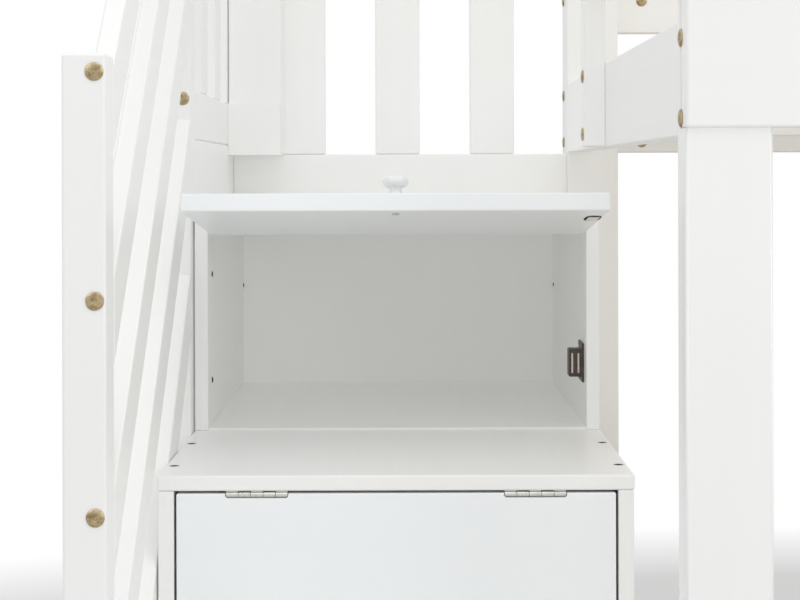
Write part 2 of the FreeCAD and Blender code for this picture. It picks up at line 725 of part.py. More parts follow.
def bunk_frame(bunk, bottom):
    """The two long rails and the two end rails of one bunk."""
    length = "bed_clear_length + 2 * bed_rail_thick"
    between = ("bed_clear_width + 2 * bed_rail_thick - 2 * rail_proud"
               " - 2 * post_depth")
    board(bunk + "_front_rail", (length, "bed_rail_thick", "front_rail_height"),
          (BED_LEFT, RAIL_FRONT, bottom + v.front_rail_lift), AXIS_X)
    board(bunk + "_rear_rail", (length, "bed_rail_thick", "bed_rail_height"),
          (BED_LEFT, CLEAR_REAR, bottom), AXIS_X)
    ends = [("stair", BED_LEFT, between + " - link_post_thick"),
            ("far", BED_RIGHT - v.bed_rail_thick, between)]
    for side, x, span in ends:
        board("%s_%s_end_rail" % (bunk, side), ("bed_rail_thick", span, "bed_rail_height"),
              (x, POST_FRONT + v.post_depth, bottom), AXIS_Y)
    slats = []
    first = BED_LEFT + v.post_width
    room = BED_LENGTH - 2 * v.post_width - v.slat_width
    for number in range(COUNTS["bed_slats"]):
        slat = block(("slat_width", "bed_clear_width - 2 * slat_end_clearance",
                      "slat_thick"),
                     (first + room * number / (COUNTS["bed_slats"] - 1),
                      CLEAR_FRONT + v.slat_end_clearance,
                      bottom + v.cleat_rise + v.cleat_size))
        slats.append(eased(slat, v.edge_ease, AXIS_Y))
    together(bunk + "_bunk_slats", slats)


def slat_cleats():
    """The four square battens inside the long rails that carry the slats."""
    cleats = []
    length = "bed_clear_length + 2 * bed_rail_thick - 2 * post_width"
    for bottom in (v.lower_rail_bottom, v.upper_rail_bottom):
        for y in (CLEAR_FRONT, CLEAR_REAR - v.cleat_size):
            cleats.append(block((length, "cleat_size", "cleat_size"),
                                (BED_LEFT + v.post_width, y, bottom + v.cleat_rise)))
    together("slat_cleats", cleats)


def guard_boards():
    """Pairs of boards around the upper bunk, with the way in left open."""
    long_run = "bed_clear_length + 2 * bed_rail_thick - 2 * post_width"
    between = ("bed_clear_width + 2 * bed_rail_thick - 2 * rail_proud"
               " - 2 * post_depth")
    short_run = ("2 * step_run - stair_forward + batten_depth - bed_front_offset"
                 " - rail_proud - post_depth")
    runs = [("front_guard_boards", (long_run, "guard_board_thick"),
             (BED_LEFT + v.post_width, CLEAR_FRONT - v.guard_board_thick), AXIS_X),
            ("rear_guard_boards", (long_run, "guard_board_thick"),
             (BED_LEFT + v.post_width, board_rear()), AXIS_X),
            ("far_end_guard_boards", ("guard_board_thick", between),
             (BED_RIGHT - v.guard_board_thick, POST_FRONT + v.post_depth), AXIS_Y),
            ("stair_end_guard_boards", ("guard_board_thick", short_run),
             (BED_LEFT, POST_FRONT + v.post_depth), AXIS_Y)]
    for label, (length, width), (x, y), way in runs:
        pair = [eased(block((length, width, "guard_board_height"), (x, y, level)),
                      v.edge_round, way) for level in BOARD_LEVELS]
        together(label, pair)


def batten_front():
    """Front face of the upright batten where the landing's way in begins."""
    return box_front(COUNTS["steps"])


def bed():
    """Posts, both bunks, their slats and the guard boards."""
    right = BED_RIGHT - v.post_width
    bed_post("front_stair_post", BED_LEFT, POST_FRONT)
    bed_post("front_far_post", right, POST_FRONT)
    bed_post("rear_stair_post", BED_LEFT, REAR_POST_FRONT)
    bed_post("rear_far_post", right, REAR_POST_FRONT)
    bunk_frame("lower", v.lower_rail_bottom)
    bunk_frame("upper", v.upper_rail_bottom)
    slat_cleats()
    guard_boards()
    board("entry_batten", ("batten_thick", "batten_depth",
                           "bed_rail_height + 2 * guard_board_gap"
                           " + 2 * guard_board_height"),
          (BED_LEFT - v.batten_thick, batten_front(), v.upper_rail_bottom), AXIS_Z)


def build():
    """Make every sub-part in order."""
    for step in range(1, COUNTS["steps"] + 1):
        step_box(step)
    carcass()
    for step in range(1, COUNTS["steps"] + 1):
        door(step)
        knob(step)
        door_fittings(step)
    hinges()
    catches()
    stair_guard()
    landing_guard()
    rear_guard()
    bed()
    panel_screws()
    bolts()


def export():
    """Check every object and write each sub-part to its own file."""
    doc.recompute()
    for thing in doc.Objects:
        if "Invalid" in thing.State or "Error" in thing.State:
            raise RuntimeError("%s did not build: %s" % (thing.Label, thing.State))
    os.makedirs("parts", exist_ok=True)
    for thing in nodes:
        shape = thing.Shape
        if shape.isNull() or not shape.isValid():
            raise RuntimeError("%s has no valid shape" % thing.Label)
        shape.exportStep(os.path.join("parts", thing.Label + ".step"))
    print("%d sub-parts, %d solids" % (len(nodes), sum(len(thing.Shape.Solids)
                                                       for thing in nodes)))


build()
export()
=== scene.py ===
"""Looks of a low bunk bed with storage stairs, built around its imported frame.

Every board is a softly rounded piece of painted timber, every fastener is a turned or
pressed piece of metal. Lengths are in metres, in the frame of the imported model: x runs
along the bed, y to the back and z up.
"""
from __future__ import annotations

import json
import logging
import math
from dataclasses import dataclass, field
from enum import Enum
from functools import cache

import bpy
import numpy as np
from bpy.types import Material, NodeSocket, NodeTree, Object, ShaderNode
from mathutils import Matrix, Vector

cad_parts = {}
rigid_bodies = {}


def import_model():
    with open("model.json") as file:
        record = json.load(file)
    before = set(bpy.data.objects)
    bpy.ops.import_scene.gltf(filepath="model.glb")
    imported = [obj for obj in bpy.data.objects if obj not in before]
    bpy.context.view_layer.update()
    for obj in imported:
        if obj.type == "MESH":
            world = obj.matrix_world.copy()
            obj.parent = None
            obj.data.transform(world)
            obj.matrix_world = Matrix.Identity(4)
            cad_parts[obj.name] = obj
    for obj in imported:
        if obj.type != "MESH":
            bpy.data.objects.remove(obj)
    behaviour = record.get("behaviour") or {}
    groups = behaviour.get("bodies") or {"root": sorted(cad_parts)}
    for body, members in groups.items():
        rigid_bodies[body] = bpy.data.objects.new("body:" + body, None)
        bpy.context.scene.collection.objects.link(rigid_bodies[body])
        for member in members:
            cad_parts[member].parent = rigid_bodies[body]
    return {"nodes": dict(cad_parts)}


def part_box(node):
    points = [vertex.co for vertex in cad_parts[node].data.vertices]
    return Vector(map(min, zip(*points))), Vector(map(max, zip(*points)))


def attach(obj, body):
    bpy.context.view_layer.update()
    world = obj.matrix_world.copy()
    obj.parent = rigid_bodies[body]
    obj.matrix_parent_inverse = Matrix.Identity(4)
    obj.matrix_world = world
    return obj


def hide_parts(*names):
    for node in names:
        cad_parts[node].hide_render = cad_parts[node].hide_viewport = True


LOG = logging.getLogger("bunk_bed")
MM = 0.001
ROOT = "root"
Vec3 = tuple[float, float, float]
Pair = tuple[float, float]
Box = tuple[np.ndarray, np.ndarray]
WHITE = (1.0, 1.0, 1.0, 1.0)
BOARD_EDGE = 2.8 * MM
POST_EDGE = 3 * MM
HINGE_SETBACK = 2.9 * MM
HINGE_DROP = 3.8 * MM
FIRST_SWELL = 0.12


class Grain(Enum):
    """The axis along which a board was cut and brushed."""

    X = 0
    Y = 1
    Z = 2


class Slot(Enum):
    """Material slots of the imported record."""

    PAINT = "white_paint"
    DOOR = "door_white"
    KNOB = "knob_white"
    SLAT = "slat_wood"
    NICKEL = "nickel_steel"
    SCREW = "screw_steel"
    CATCH = "catch_plastic"
    BRASS = "antique_brass"


# Surfaces as numpy arrays


@dataclass
class Surface:
    """A mesh as plain arrays: corner points and faces of three or more corners."""

    points: np.ndarray
    faces: list[tuple[int, ...]]

    def moved(self, offset: np.ndarray) -> "Surface":
        """The same surface, shifted by an offset."""
        return Surface(self.points + np.asarray(offset, float), self.faces)

    def turned(self, matrix: np.ndarray) -> "Surface":
        """The same surface, its points multiplied by a rotation matrix."""
        return Surface(self.points @ np.asarray(matrix, float).T, self.faces)


def join(parts: list[Surface]) -> Surface:
    """Put several surfaces into one mesh.

    Args:
        parts: The surfaces.

    Returns:
        One surface with all the points and faces.
    """
    starts = np.cumsum([0] + [len(part.points) for part in parts[:-1]])
    faces = [tuple(int(start) + corner for corner in face)
             for start, part in zip(starts, parts) for face in part.faces]
    return Surface(np.concatenate([part.points for part in parts]), faces)


def skin(rings: np.ndarray, closed: bool = False) -> Surface:
    """Cover a stack of equal rings with quads.

    Args:
        rings: Array of stations x corners x 3; each ring runs anticlockwise when
            seen from where the stack is heading.
        closed: Join the last ring to the first; otherwise both ends get a flat cap.

    Returns:
        The closed surface.
    """
    stations, corners = rings.shape[:2]
    spans = stations if closed else stations - 1
    row, column = np.meshgrid(np.arange(spans), np.arange(corners), indexing="ij")
    after, beside = (row + 1) % stations, (column + 1) % corners
    quads = np.stack([row * corners + column, row * corners + beside,
                      after * corners + beside, after * corners + column], -1)
    faces = [tuple(quad) for quad in quads.reshape(-1, 4).tolist()]
    if not closed:
        faces.append(tuple(range(corners - 1, -1, -1)))
        last = (stations - 1) * corners
        faces.append(tuple(range(last, last + corners)))
    return Surface(rings.reshape(-1, 3), faces)


def rounded_ring(half: np.ndarray, radius: float, corner: np.ndarray) -> np.ndarray:
    """A rounded rectangle: four quarter circles about the corners of a smaller one.

    Args:
        half: Half width and half height.
        radius: Radius of the corners.
        corner: Angles of one quarter circle, from 0 to 90 degrees, in radians.

    Returns:
        Points of the ring, anticlockwise.
    """
    turns = np.arange(4)[:, None] * math.pi / 2 + corner[None, :]
    signs = np.array([(1, 1), (-1, 1), (-1, -1), (1, -1)])[:, None, :]
    arcs = np.stack([np.cos(turns), np.sin(turns)], -1) * radius
    return (signs * (np.asarray(half) - radius) + arcs).reshape(-1, 2)


def soft_board(low: np.ndarray, high: np.ndarray, radius: float,
               steps: int = 4) -> Surface:
    """A board with every edge rounded over.

    A rounded rectangle is carried along the board's longest side. Over the last
    radius at each end it shrinks as the sine of an angle while it advances as one
    minus the cosine, which rounds the end's edges as well.

    Args:
        low: Lowest corner.
        high: Highest corner.
        radius: Radius of the edges.
        steps: Number of facets on each quarter round.

    Returns:
        The closed surface.
    """
    low, high = np.asarray(low, float), np.asarray(high, float)
    size = high - low
    radius = min(radius, 0.49 * float(size.min()))
    axis = int(size.argmax())
    across = [(axis + 1) % 3, (axis + 2) % 3]
    corner = np.linspace(0, math.pi / 2, steps + 1)
    swell = np.linspace(FIRST_SWELL, math.pi / 2, steps + 1)
    half = size[across] / 2
    rings = [rounded_ring(half - radius * (1 - math.sin(angle)),
                          radius * math.sin(angle), corner) for angle in swell]
    advance = radius * (1 - np.cos(swell))
    stack = np.array(rings + rings[::-1])
    along = np.concatenate([advance, size[axis] - advance[::-1]])
    points = np.zeros(stack.shape[:2] + (3,))
    points[..., across[0]] = stack[..., 0] + half[0] + low[across[0]]
    points[..., across[1]] = stack[..., 1] + half[1] + low[across[1]]
    points[..., axis] = along[:, None] + low[axis]
    return skin(points)


def wheel(corners: int) -> np.ndarray:
    """Directions spaced evenly round the z axis: cosine and sine of each angle."""
    angle = np.arange(corners) * 2 * math.pi / corners
    return np.stack([np.cos(angle), np.sin(angle)], -1)


def turned_shape(profile: np.ndarray, corners: int = 48) -> Surface:
    """Turn an outline about the z axis, its first and last point on the axis.

    Args:
        profile: Points (radius, height) from the bottom pole to the top pole.
        corners: Number of points round the axis.

    Returns:
        The closed surface.
    """
    inner = profile[1:-1, :, None, None]
    heights = np.broadcast_to(inner[:, 1], (len(inner), corners, 1))
    return skin(np.concatenate([inner[:, 0] * wheel(corners), heights], -1))


def ring_shape(profile: np.ndarray, corners: int = 40) -> Surface:
    """Turn a closed outline about the z axis, as a tube or a washer.

    Args:
        profile: Points (radius, height) of the closed outline, anticlockwise with
            the radius to the right and the height upwards.
        corners: Number of points round the axis.

    Returns:
        The closed surface.
    """
    radius, height = profile[:, :1], profile[:, 1:]
    heights = np.broadcast_to(height, (corners, len(height), 1))
    rings = np.concatenate([radius * wheel(corners)[:, None], heights], -1)
    surface = skin(rings, closed=True)
    return Surface(surface.points, [face[::-1] for face in surface.faces])


def facing(direction: Vec3) -> np.ndarray:
    """The rotation that takes z to a direction along one of the axes."""
    target = np.asarray(direction, float)
    first = np.cross(np.eye(3)[2 if abs(target[2]) < 0.5 else 0], target)
    first /= np.linalg.norm(first)
    return np.stack([first, np.cross(target, first), target], -1)


def about_x(angle: float) -> np.ndarray:
    """The rotation about the x axis by an angle in radians."""
    cosine, sine = math.cos(angle), math.sin(angle)
    return np.array([[1, 0, 0], [0, cosine, -sine], [0, sine, cosine]])


def box_of(node: str) -> Box:
    """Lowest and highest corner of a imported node."""
    low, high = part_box(node)
    return np.array(low), np.array(high)


def boxes_in(node: str, size: tuple[float | None, ...],
             counts: tuple[int, ...]) -> list[Box]:
    """Boxes of a given size spread evenly over a node, first and last at its ends.

    Args:
        node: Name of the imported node.
        size: Sides of one box; None keeps the node's own side.
        counts: How many boxes along x, y and z.

    Returns:
        Lowest and highest corner of every box.
    """
    low, high = box_of(node)
    sides = np.array([full if side is None else side
                      for side, full in zip(size, high - low)])
    room = high - low - sides
    shares = np.meshgrid(*[np.linspace(0, 1, count) for count in counts], indexing="ij")
    places = np.stack(shares, -1).reshape(-1, 3)
    return [(low + room * place, low + room * place + sides) for place in places]


# Finishes


class Nodes:
    """A short way to write a tree of shader nodes."""

    def __init__(self, tree: NodeTree) -> None:
        """Write into a tree."""
        self.tree = tree

    def add(self, kind: str, settings: dict | None = None,
            **inputs: object) -> ShaderNode:
        """Add a node.

        Args:
            kind: The node's type without its ShaderNode prefix.
            settings: Attributes of the node.
            inputs: Values or sockets for its inputs, named with underscores.

        Returns:
            The node.
        """
        node = self.tree.nodes.new("ShaderNode" + kind)
        for name, value in (settings or {}).items():
            setattr(node, name, value)
        for name, value in inputs.items():
            self.feed(node.inputs[name.replace("_", " ")], value)
        return node

    def feed(self, socket: NodeSocket, value: object) -> None:
        """Link a socket to another, or set its value."""
        if isinstance(value, NodeSocket):
            self.tree.links.new(value, socket)
        else:
            socket.default_value = value

    def row(self, node: ShaderNode, first: int, values: tuple) -> ShaderNode:
        """Feed a node's inputs one after the other, and give the node back."""
        for number, value in enumerate(values, start=first):
            self.feed(node.inputs[number], value)
        return node

    def reckon(self, operation: str, *values: object) -> NodeSocket:
        """The outcome of a sum over sockets or numbers."""
        return self.row(self.add("Math", {"operation": operation}), 0,
                        values).outputs[0]

    def either_shader(self, share: object, first: ShaderNode,
                      second: ShaderNode) -> NodeSocket:
        """Mix two shaders by a share."""
        return self.row(self.add("MixShader"), 0,
                        (share, first.outputs[0], second.outputs[0])).outputs[0]


class Tree(Nodes):
    """A material that starts with one principled shader."""

    def __init__(self, name: str) -> None:
        """Start the material."""
        self.material = bpy.data.materials.new(name)
        self.material.use_nodes = True
        super().__init__(self.material.node_tree)
        self.shader = self.tree.nodes["Principled BSDF"]

    def finish(self, **inputs: object) -> Material:
        """Feed the shader's inputs, named with underscores, and give the material."""
        for name, value in inputs.items():
            self.feed(self.shader.inputs[name.replace("_", " ")], value)
        return self.material

    def mapped(self, scale: Vec3) -> NodeSocket:
        """Object coordinates stretched by a scale along each axis."""
        place = self.add("TexCoord").outputs["Object"]
        return self.add("Mapping", Vector=place, Scale=scale).outputs["Vector"]

    def noise(self, scale: Vec3 | float, detail: float = 2.0,
              roughness: float = 0.55) -> NodeSocket:
        """A noise pattern between 0 and 1, its scale counted in cells per metre."""
        scales = scale if isinstance(scale, tuple) else (scale,) * 3
        return self.add("TexNoise", Vector=self.mapped(scales), Scale=1.0,
                        Detail=detail, Roughness=roughness).outputs["Fac"]

    def span(self, value: object, start: float, end: float, low: float,
             high: float) -> NodeSocket:
        """Carry a range of a pattern to another range, held at both ends."""
        return self.add("MapRange", {"clamp": True}, Value=value, From_Min=start,
                        From_Max=end, To_Min=low, To_Max=high).outputs["Result"]

    def swing(self, pattern: object, middle: float, less: float,
              more: float) -> NodeSocket:
        """A roughness that a pattern carries from a bit less to a bit more."""
        return self.span(pattern, 0.3, 0.7, middle - less, middle + more)

    def blend(self, share: object, *colours: object) -> NodeSocket:
        """Mix two colours by a share; each is a tuple or a socket."""
        full = [(*colour, 1.0) if isinstance(colour, tuple) else colour
                for colour in colours]
        node = self.row(self.add("Mix", {"data_type": "RGBA"}), 6, tuple(full))
        self.feed(node.inputs[0], share)
        return node.outputs[2]

    def bump(self, height: object, depth: float, strength: float = 1.0,
             under: object = None) -> NodeSocket:
        """A bump of a real depth in metres, laid over another one."""
        node = self.add("Bump", Height=height, Strength=strength, Distance=depth)
        if under is not None:
            self.feed(node.inputs["Normal"], under)
        return node.outputs["Normal"]


def stretched(grain: Grain, along: float, across: float) -> Vec3:
    """A scale that is small along the grain and large across it."""
    scale = [across] * 3
    scale[grain.value] = along
    return tuple(scale)


@dataclass(frozen=True)
class Paint:
    """Brushed satin paint on timber, whose grain still shows a little."""

    name: str
    tone: Vec3
    shade: Vec3
    roughness: float = 0.36
    coat: float = 0.12
    brush_depth: float = 0.05 * MM
    grain_depth: float = 0.10 * MM
    peel_depth: float = 0.02 * MM
    marking: float = 1.0

    def dress(self, grain: Grain) -> Material:
        """The paint's material for boards of one grain direction."""
        tree = Tree("%s_%s" % (self.name, grain.name.lower()))
        strokes = tree.noise(stretched(grain, 3.0, 260.0))
        print_through = tree.noise(stretched(grain, 1.2, 46.0), 4.0, 0.62)
        clouds = tree.noise(2.3)
        peel = tree.noise(420.0, 1.0)
        mottle = tree.reckon("MULTIPLY_ADD", print_through, 0.35, clouds)
        relief = tree.bump(print_through, self.grain_depth, 0.55)
        relief = tree.bump(strokes, self.brush_depth, 0.6, relief)
        return tree.finish(
            Base_Color=tree.blend(tree.span(mottle, 0.45, 0.95, 0.0, 1.0),
                                  self.tone, self.shade),
            Roughness=tree.swing(strokes, self.roughness, 0.05 * self.marking,
                                 0.07 * self.marking),
            Coat_Weight=self.coat, Coat_Roughness=0.18, IOR=1.48,
            Normal=tree.bump(peel, self.peel_depth, 0.35, relief))


@dataclass(frozen=True)
class Metal:
    """Plated or browned metal with fine turning marks and a little tarnish.

    The rim is how strongly it mirrors at a grazing angle, from 0 to 1.
    """

    name: str
    tone: Vec3
    tarnish: Vec3
    roughness: float = 0.3
    tarnish_start: float = 0.5
    rim: float = 1.0

    def dress(self, grain: Grain) -> Material:
        """The metal's material."""
        tree = Tree(self.name)
        marks = tree.noise(stretched(grain, 300.0, 4200.0))
        spots = tree.noise(160.0, 4.0, 0.65)
        share = tree.span(spots, self.tarnish_start, self.tarnish_start + 0.22, 0.0, 1.0)
        return tree.finish(
            Base_Color=tree.blend(share, self.tone, self.tarnish), Metallic=1.0,
            Specular_Tint=(*[self.rim] * 3, 1.0),
            Roughness=tree.swing(marks, self.roughness, 0.08, 0.12),
            Normal=tree.bump(marks, 0.01 * MM, 0.5))


@dataclass(frozen=True)
class Moulded:
    """Dark moulded plastic with a fine matt texture."""

    name: str
    tone: Vec3
    dust: Vec3
    roughness: float = 0.42

    def dress(self, grain: Grain) -> Material:
        """The plastic's material, the same for every grain."""
        tree = Tree(self.name)
        fine = tree.noise(2600.0)
        haze = tree.span(tree.noise(70.0, 3.0), 0.45, 0.8, 0.0, 0.6)
        return tree.finish(Base_Color=tree.blend(haze, self.tone, self.dust),
                           Roughness=tree.swing(fine, self.roughness, 0.06, 0.08),
                           Normal=tree.bump(fine, 0.03 * MM, 0.5))


@dataclass(frozen=True)
class BareWood:
    """Planed softwood: growth rings as long streaks, and a few darker pores."""

    name: str
    early: Vec3
    late: Vec3
    roughness: float = 0.55

    def dress(self, grain: Grain) -> Material:
        """The wood's material for slats of one direction."""
        tree = Tree("%s_%s" % (self.name, grain.name.lower()))
        warp = tree.noise(stretched(grain, 1.4, 9.0))
        rings = tree.add("TexWave", {"wave_type": "RINGS", "rings_direction": grain.name},
                         Vector=tree.mapped(stretched(grain, 0.35, 5.5)), Scale=7.0,
                         Distortion=5.5, Detail=2.0, Detail_Scale=0.8).outputs["Fac"]
        streaks = tree.noise(stretched(grain, 5.0, 520.0), 4.0, 0.6)
        share = tree.reckon("MULTIPLY", tree.span(rings, 0.2, 0.9, 0.0, 0.8),
                            tree.span(warp, 0.3, 0.7, 0.5, 1.0))
        wood = tree.blend(share, self.early, self.late)
        pores = tree.span(streaks, 0.52, 0.8, 0.0, 0.35)
        return tree.finish(
            Base_Color=tree.blend(pores, wood, self.late),
            Roughness=tree.swing(streaks, self.roughness, 0.07, 0.1),
            Normal=tree.bump(rings, 0.06 * MM, 0.4,
                             tree.bump(streaks, 0.08 * MM, 0.6)))


FINISHES = {
    Slot.PAINT: Paint("white_satin_paint", (0.900, 0.905, 0.892), (0.868, 0.872, 0.855)),
    Slot.DOOR: Paint("door_satin_paint", (0.885, 0.905, 0.915), (0.862, 0.884, 0.892),
                     roughness=0.34, coat=0.15, brush_depth=0.003 * MM,
                     grain_depth=0.002 * MM, marking=0.15),
    Slot.KNOB: Paint("knob_gloss_paint", (0.840, 0.850, 0.845), (0.800, 0.812, 0.805),
                     roughness=0.24, coat=0.35, brush_depth=0.02 * MM,
                     grain_depth=0.03 * MM),
    Slot.SLAT: BareWood("planed_pine", (0.72, 0.60, 0.44), (0.54, 0.40, 0.26)),
    Slot.NICKEL: Metal("plated_nickel", (0.66, 0.65, 0.62), (0.40, 0.38, 0.35), 0.27,
                       0.56),
    # Screw heads in a nearly black colour: dark heads, with the shade of their recesses
    # painted into the colour as well.
    Slot.SCREW: Metal("screw_near_black_with_painted_shade", (0.045, 0.039, 0.033), (0.018, 0.015, 0.012), 0.45,
                       0.46, 0.04),
    Slot.CATCH: Moulded("catch_brown", (0.055, 0.036, 0.026), (0.15, 0.11, 0.09)),
    Slot.BRASS: Metal("browned_brass", (0.50, 0.40, 0.24), (0.24, 0.165, 0.10), 0.38,
                      0.44),
}


@cache
def material_of(slot: Slot, grain: Grain) -> Material:
    """A slot's material for one grain direction, made once."""
    return FINISHES[slot].dress(grain)


# Pieces


def mesh_object(name: str, surface: Surface) -> Object:
    """Put a surface, shaded smoothly, into a new object at the origin.

    Args:
        name: Name of the piece.
        surface: Its surface.

    Returns:
        The object.
    """
    mesh = bpy.data.meshes.new(name)
    mesh.from_pydata(surface.points.tolist(), [], surface.faces)
    mesh.validate()
    mesh.polygons.foreach_set("use_smooth", [True] * len(mesh.polygons))
    thing = bpy.data.objects.new(name, mesh)
    bpy.context.scene.collection.objects.link(thing)
    return thing


def carve(thing: Object, tools: Surface) -> None:
    """Take the space of some tools out of a piece, for good.

    Args:
        thing: The piece.
        tools: Closed surfaces that don't touch each other.
    """
    cutter = mesh_object("tool", tools)
    modifier = thing.modifiers.new("Carve", "BOOLEAN")
    modifier.operation = "DIFFERENCE"
    modifier.solver = "EXACT"
    modifier.object = cutter
    graph = bpy.context.evaluated_depsgraph_get()
    result = bpy.data.meshes.new_from_object(thing.evaluated_get(graph))
    thing.modifiers.clear()
    old = thing.data
    thing.data = result
    bpy.data.meshes.remove(old)
    bpy.data.objects.remove(cutter)


@dataclass
class Piece:
    """One finished piece: where it rides, what it stands for and how it is finished.

    Weighted normals let its flat faces lead the shading, so only the rounds look round.
    """

    name: str
    surface: Surface
    slot: Slot
    body: str = ROOT
    stands_for: tuple[str, ...] = ()
    grain: Grain = Grain.X

    def make(self, tools: Surface | None = None) -> Object:
        """Build the piece, take the tools out of it, dress it and hang it."""
        thing = mesh_object(self.name, self.surface)
        if tools is not None:
            carve(thing, tools)
        modifier = thing.modifiers.new("EvenNormals", "WEIGHTED_NORMAL")
        modifier.mode, modifier.keep_sharp = "FACE_AREA", True
        thing.data.materials.clear()
        thing.data.materials.append(material_of(self.slot, self.grain))
        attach(thing, self.body)
        if self.stands_for:
            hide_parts(*self.stands_for)
        LOG.info("%s: %d points on %s", self.name, len(thing.data.vertices), self.body)
        return thing


def board_piece(node: str, radius: float = BOARD_EDGE, slot: Slot = Slot.PAINT,
                boxes: list[Box] | None = None,
                tools: Surface | None = None) -> Object:
    """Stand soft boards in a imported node's place, their grain along the longest side.

    Args:
        node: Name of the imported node.
        radius: Radius of the boards' edges.
        slot: Their material slot.
        boxes: Boxes of the boards, or None for one board in the node's own box.
        tools: What is taken out of them.

    Returns:
        The piece.
    """
    places = boxes or [box_of(node)]
    surface = join([soft_board(low, high, radius) for low, high in places])
    low, high = places[0]
    grain = Grain(int((high - low).argmax()))
    return Piece(node + "_board", surface, slot, ROOT, (node,), grain).make(tools)


@dataclass
class Step:
    """A step with its door, which is drawn closed about its hinge axis."""

    tread: str
    door: str
    angle: float = 0.0

    def axis(self) -> np.ndarray:
        """The middle of the hinge axis."""
        low, high = box_of(self.tread)
        return np.array([(low[0] + high[0]) / 2, low[1] + HINGE_SETBACK,
                         low[2] - HINGE_DROP])

    def hung(self, surface: Surface) -> Surface:
        """A surface that swings with the door, put in place."""
        return surface.turned(about_x(math.radians(self.angle))).moved(self.axis())


STEPS = [Step("step1_tread", "step1_door"),
         Step("step2_tread", "step2_door"),
         Step("landing_board", "landing_door", -98.0)]


@dataclass
class StairBoxes:
    """The boxes of the stairs: panels, treads, base, back and liners."""

    panel_radius: float = 1.4 * MM
    tread_radius: float = 2.6 * MM
    liner_thick: float = 3 * MM
    screw_radius: float = 6.2 * MM
    screw_depth: float = 3 * MM
    mouth: float = 0.5 * MM
    screw_inset: float = 9 * MM
    screw_backs: Pair = (57 * MM, 190 * MM)

    def screw_places(self, tread: str) -> np.ndarray:
        """Centres of the four screws of a tread, at its top."""
        low, high = box_of(tread)
        return np.array([(x, low[1] + back, high[2])
                         for x in (low[0] + self.screw_inset, high[0] - self.screw_inset)
                         for back in self.screw_backs])

    def screw_holes(self, tread: str) -> Surface:
        """Short counterbores for a tread's screws: cylinders with a wider mouth."""
        deep, wall = self.screw_depth, self.screw_radius
        wide = wall + self.mouth
        profile = np.array([(0, -deep), (wall, -deep), (wall, -self.mouth),
                            (wide, 0.05 * MM), (wide, MM), (0, MM)])
        hole = turned_shape(profile, 40)
        return join([hole.moved(place) for place in self.screw_places(tread)])

    def build(self) -> None:
        """Make all the boards of the stairs."""
        for number in (1, 2, 3):
            for side in ("left", "right"):
                board_piece("step%d_side_%s" % (number, side), self.panel_radius)
        for step in STEPS:
            board_piece(step.tread, self.tread_radius,
                        tools=self.screw_holes(step.tread))
        board_piece("step1_base_board", self.panel_radius)
        board_piece("stair_back_panel", self.panel_radius)
        low, high = box_of("compartment_floor_liners")
        run = box_of("landing_board")[0][1] - box_of("step2_tread")[0][1]
        upper = low + np.array([0, run, high[2] - low[2] - self.liner_thick])
        lower_high = np.array([high[0], high[1], low[2] + self.liner_thick])
        board_piece("compartment_floor_liners", 0.6 * MM,
                    boxes=[(low, lower_high), (upper, high)])


@dataclass
class Knob:
    """The turned wooden knob: flared foot, short neck, thick rounded head."""

    height: float = 22 * MM
    foot: float = 9 * MM
    neck: float = 6.9 * MM
    head: float = 13.8 * MM
    levels: Vec3 = (0.2, 0.4, 0.68)
    tip: float = 0.4 * MM

    def surface(self) -> Surface:
        """The knob standing on the z axis.

        Its outline runs from the foot to the top by sines and cosines of one share.
        The levels are shares of the height: end of the foot's flare, start of the
        head and the head's widest place.
        """
        flare, brow, rim = self.levels
        share = np.linspace(0, 1, 12)
        turn = share * math.pi / 2
        lower = np.stack([self.foot + (self.neck - self.foot) * np.sin(turn),
                          flare * share ** 1.3], -1)
        under = np.stack([self.neck + (self.head - self.neck) * np.sin(turn) ** 0.8,
                          brow + (rim - brow) * (1 - np.cos(turn))], -1)
        over = np.stack([self.head * np.cos(turn[1:]) ** 0.8,
                         rim + (1 - rim) * np.sin(turn[1:]) ** 0.95], -1)
        over[-1, 0] = self.tip
        outline = np.concatenate([[(0, 0)], lower, under, over, [(0, 1)]])
        return turned_shape(outline * (1, self.height), 56)


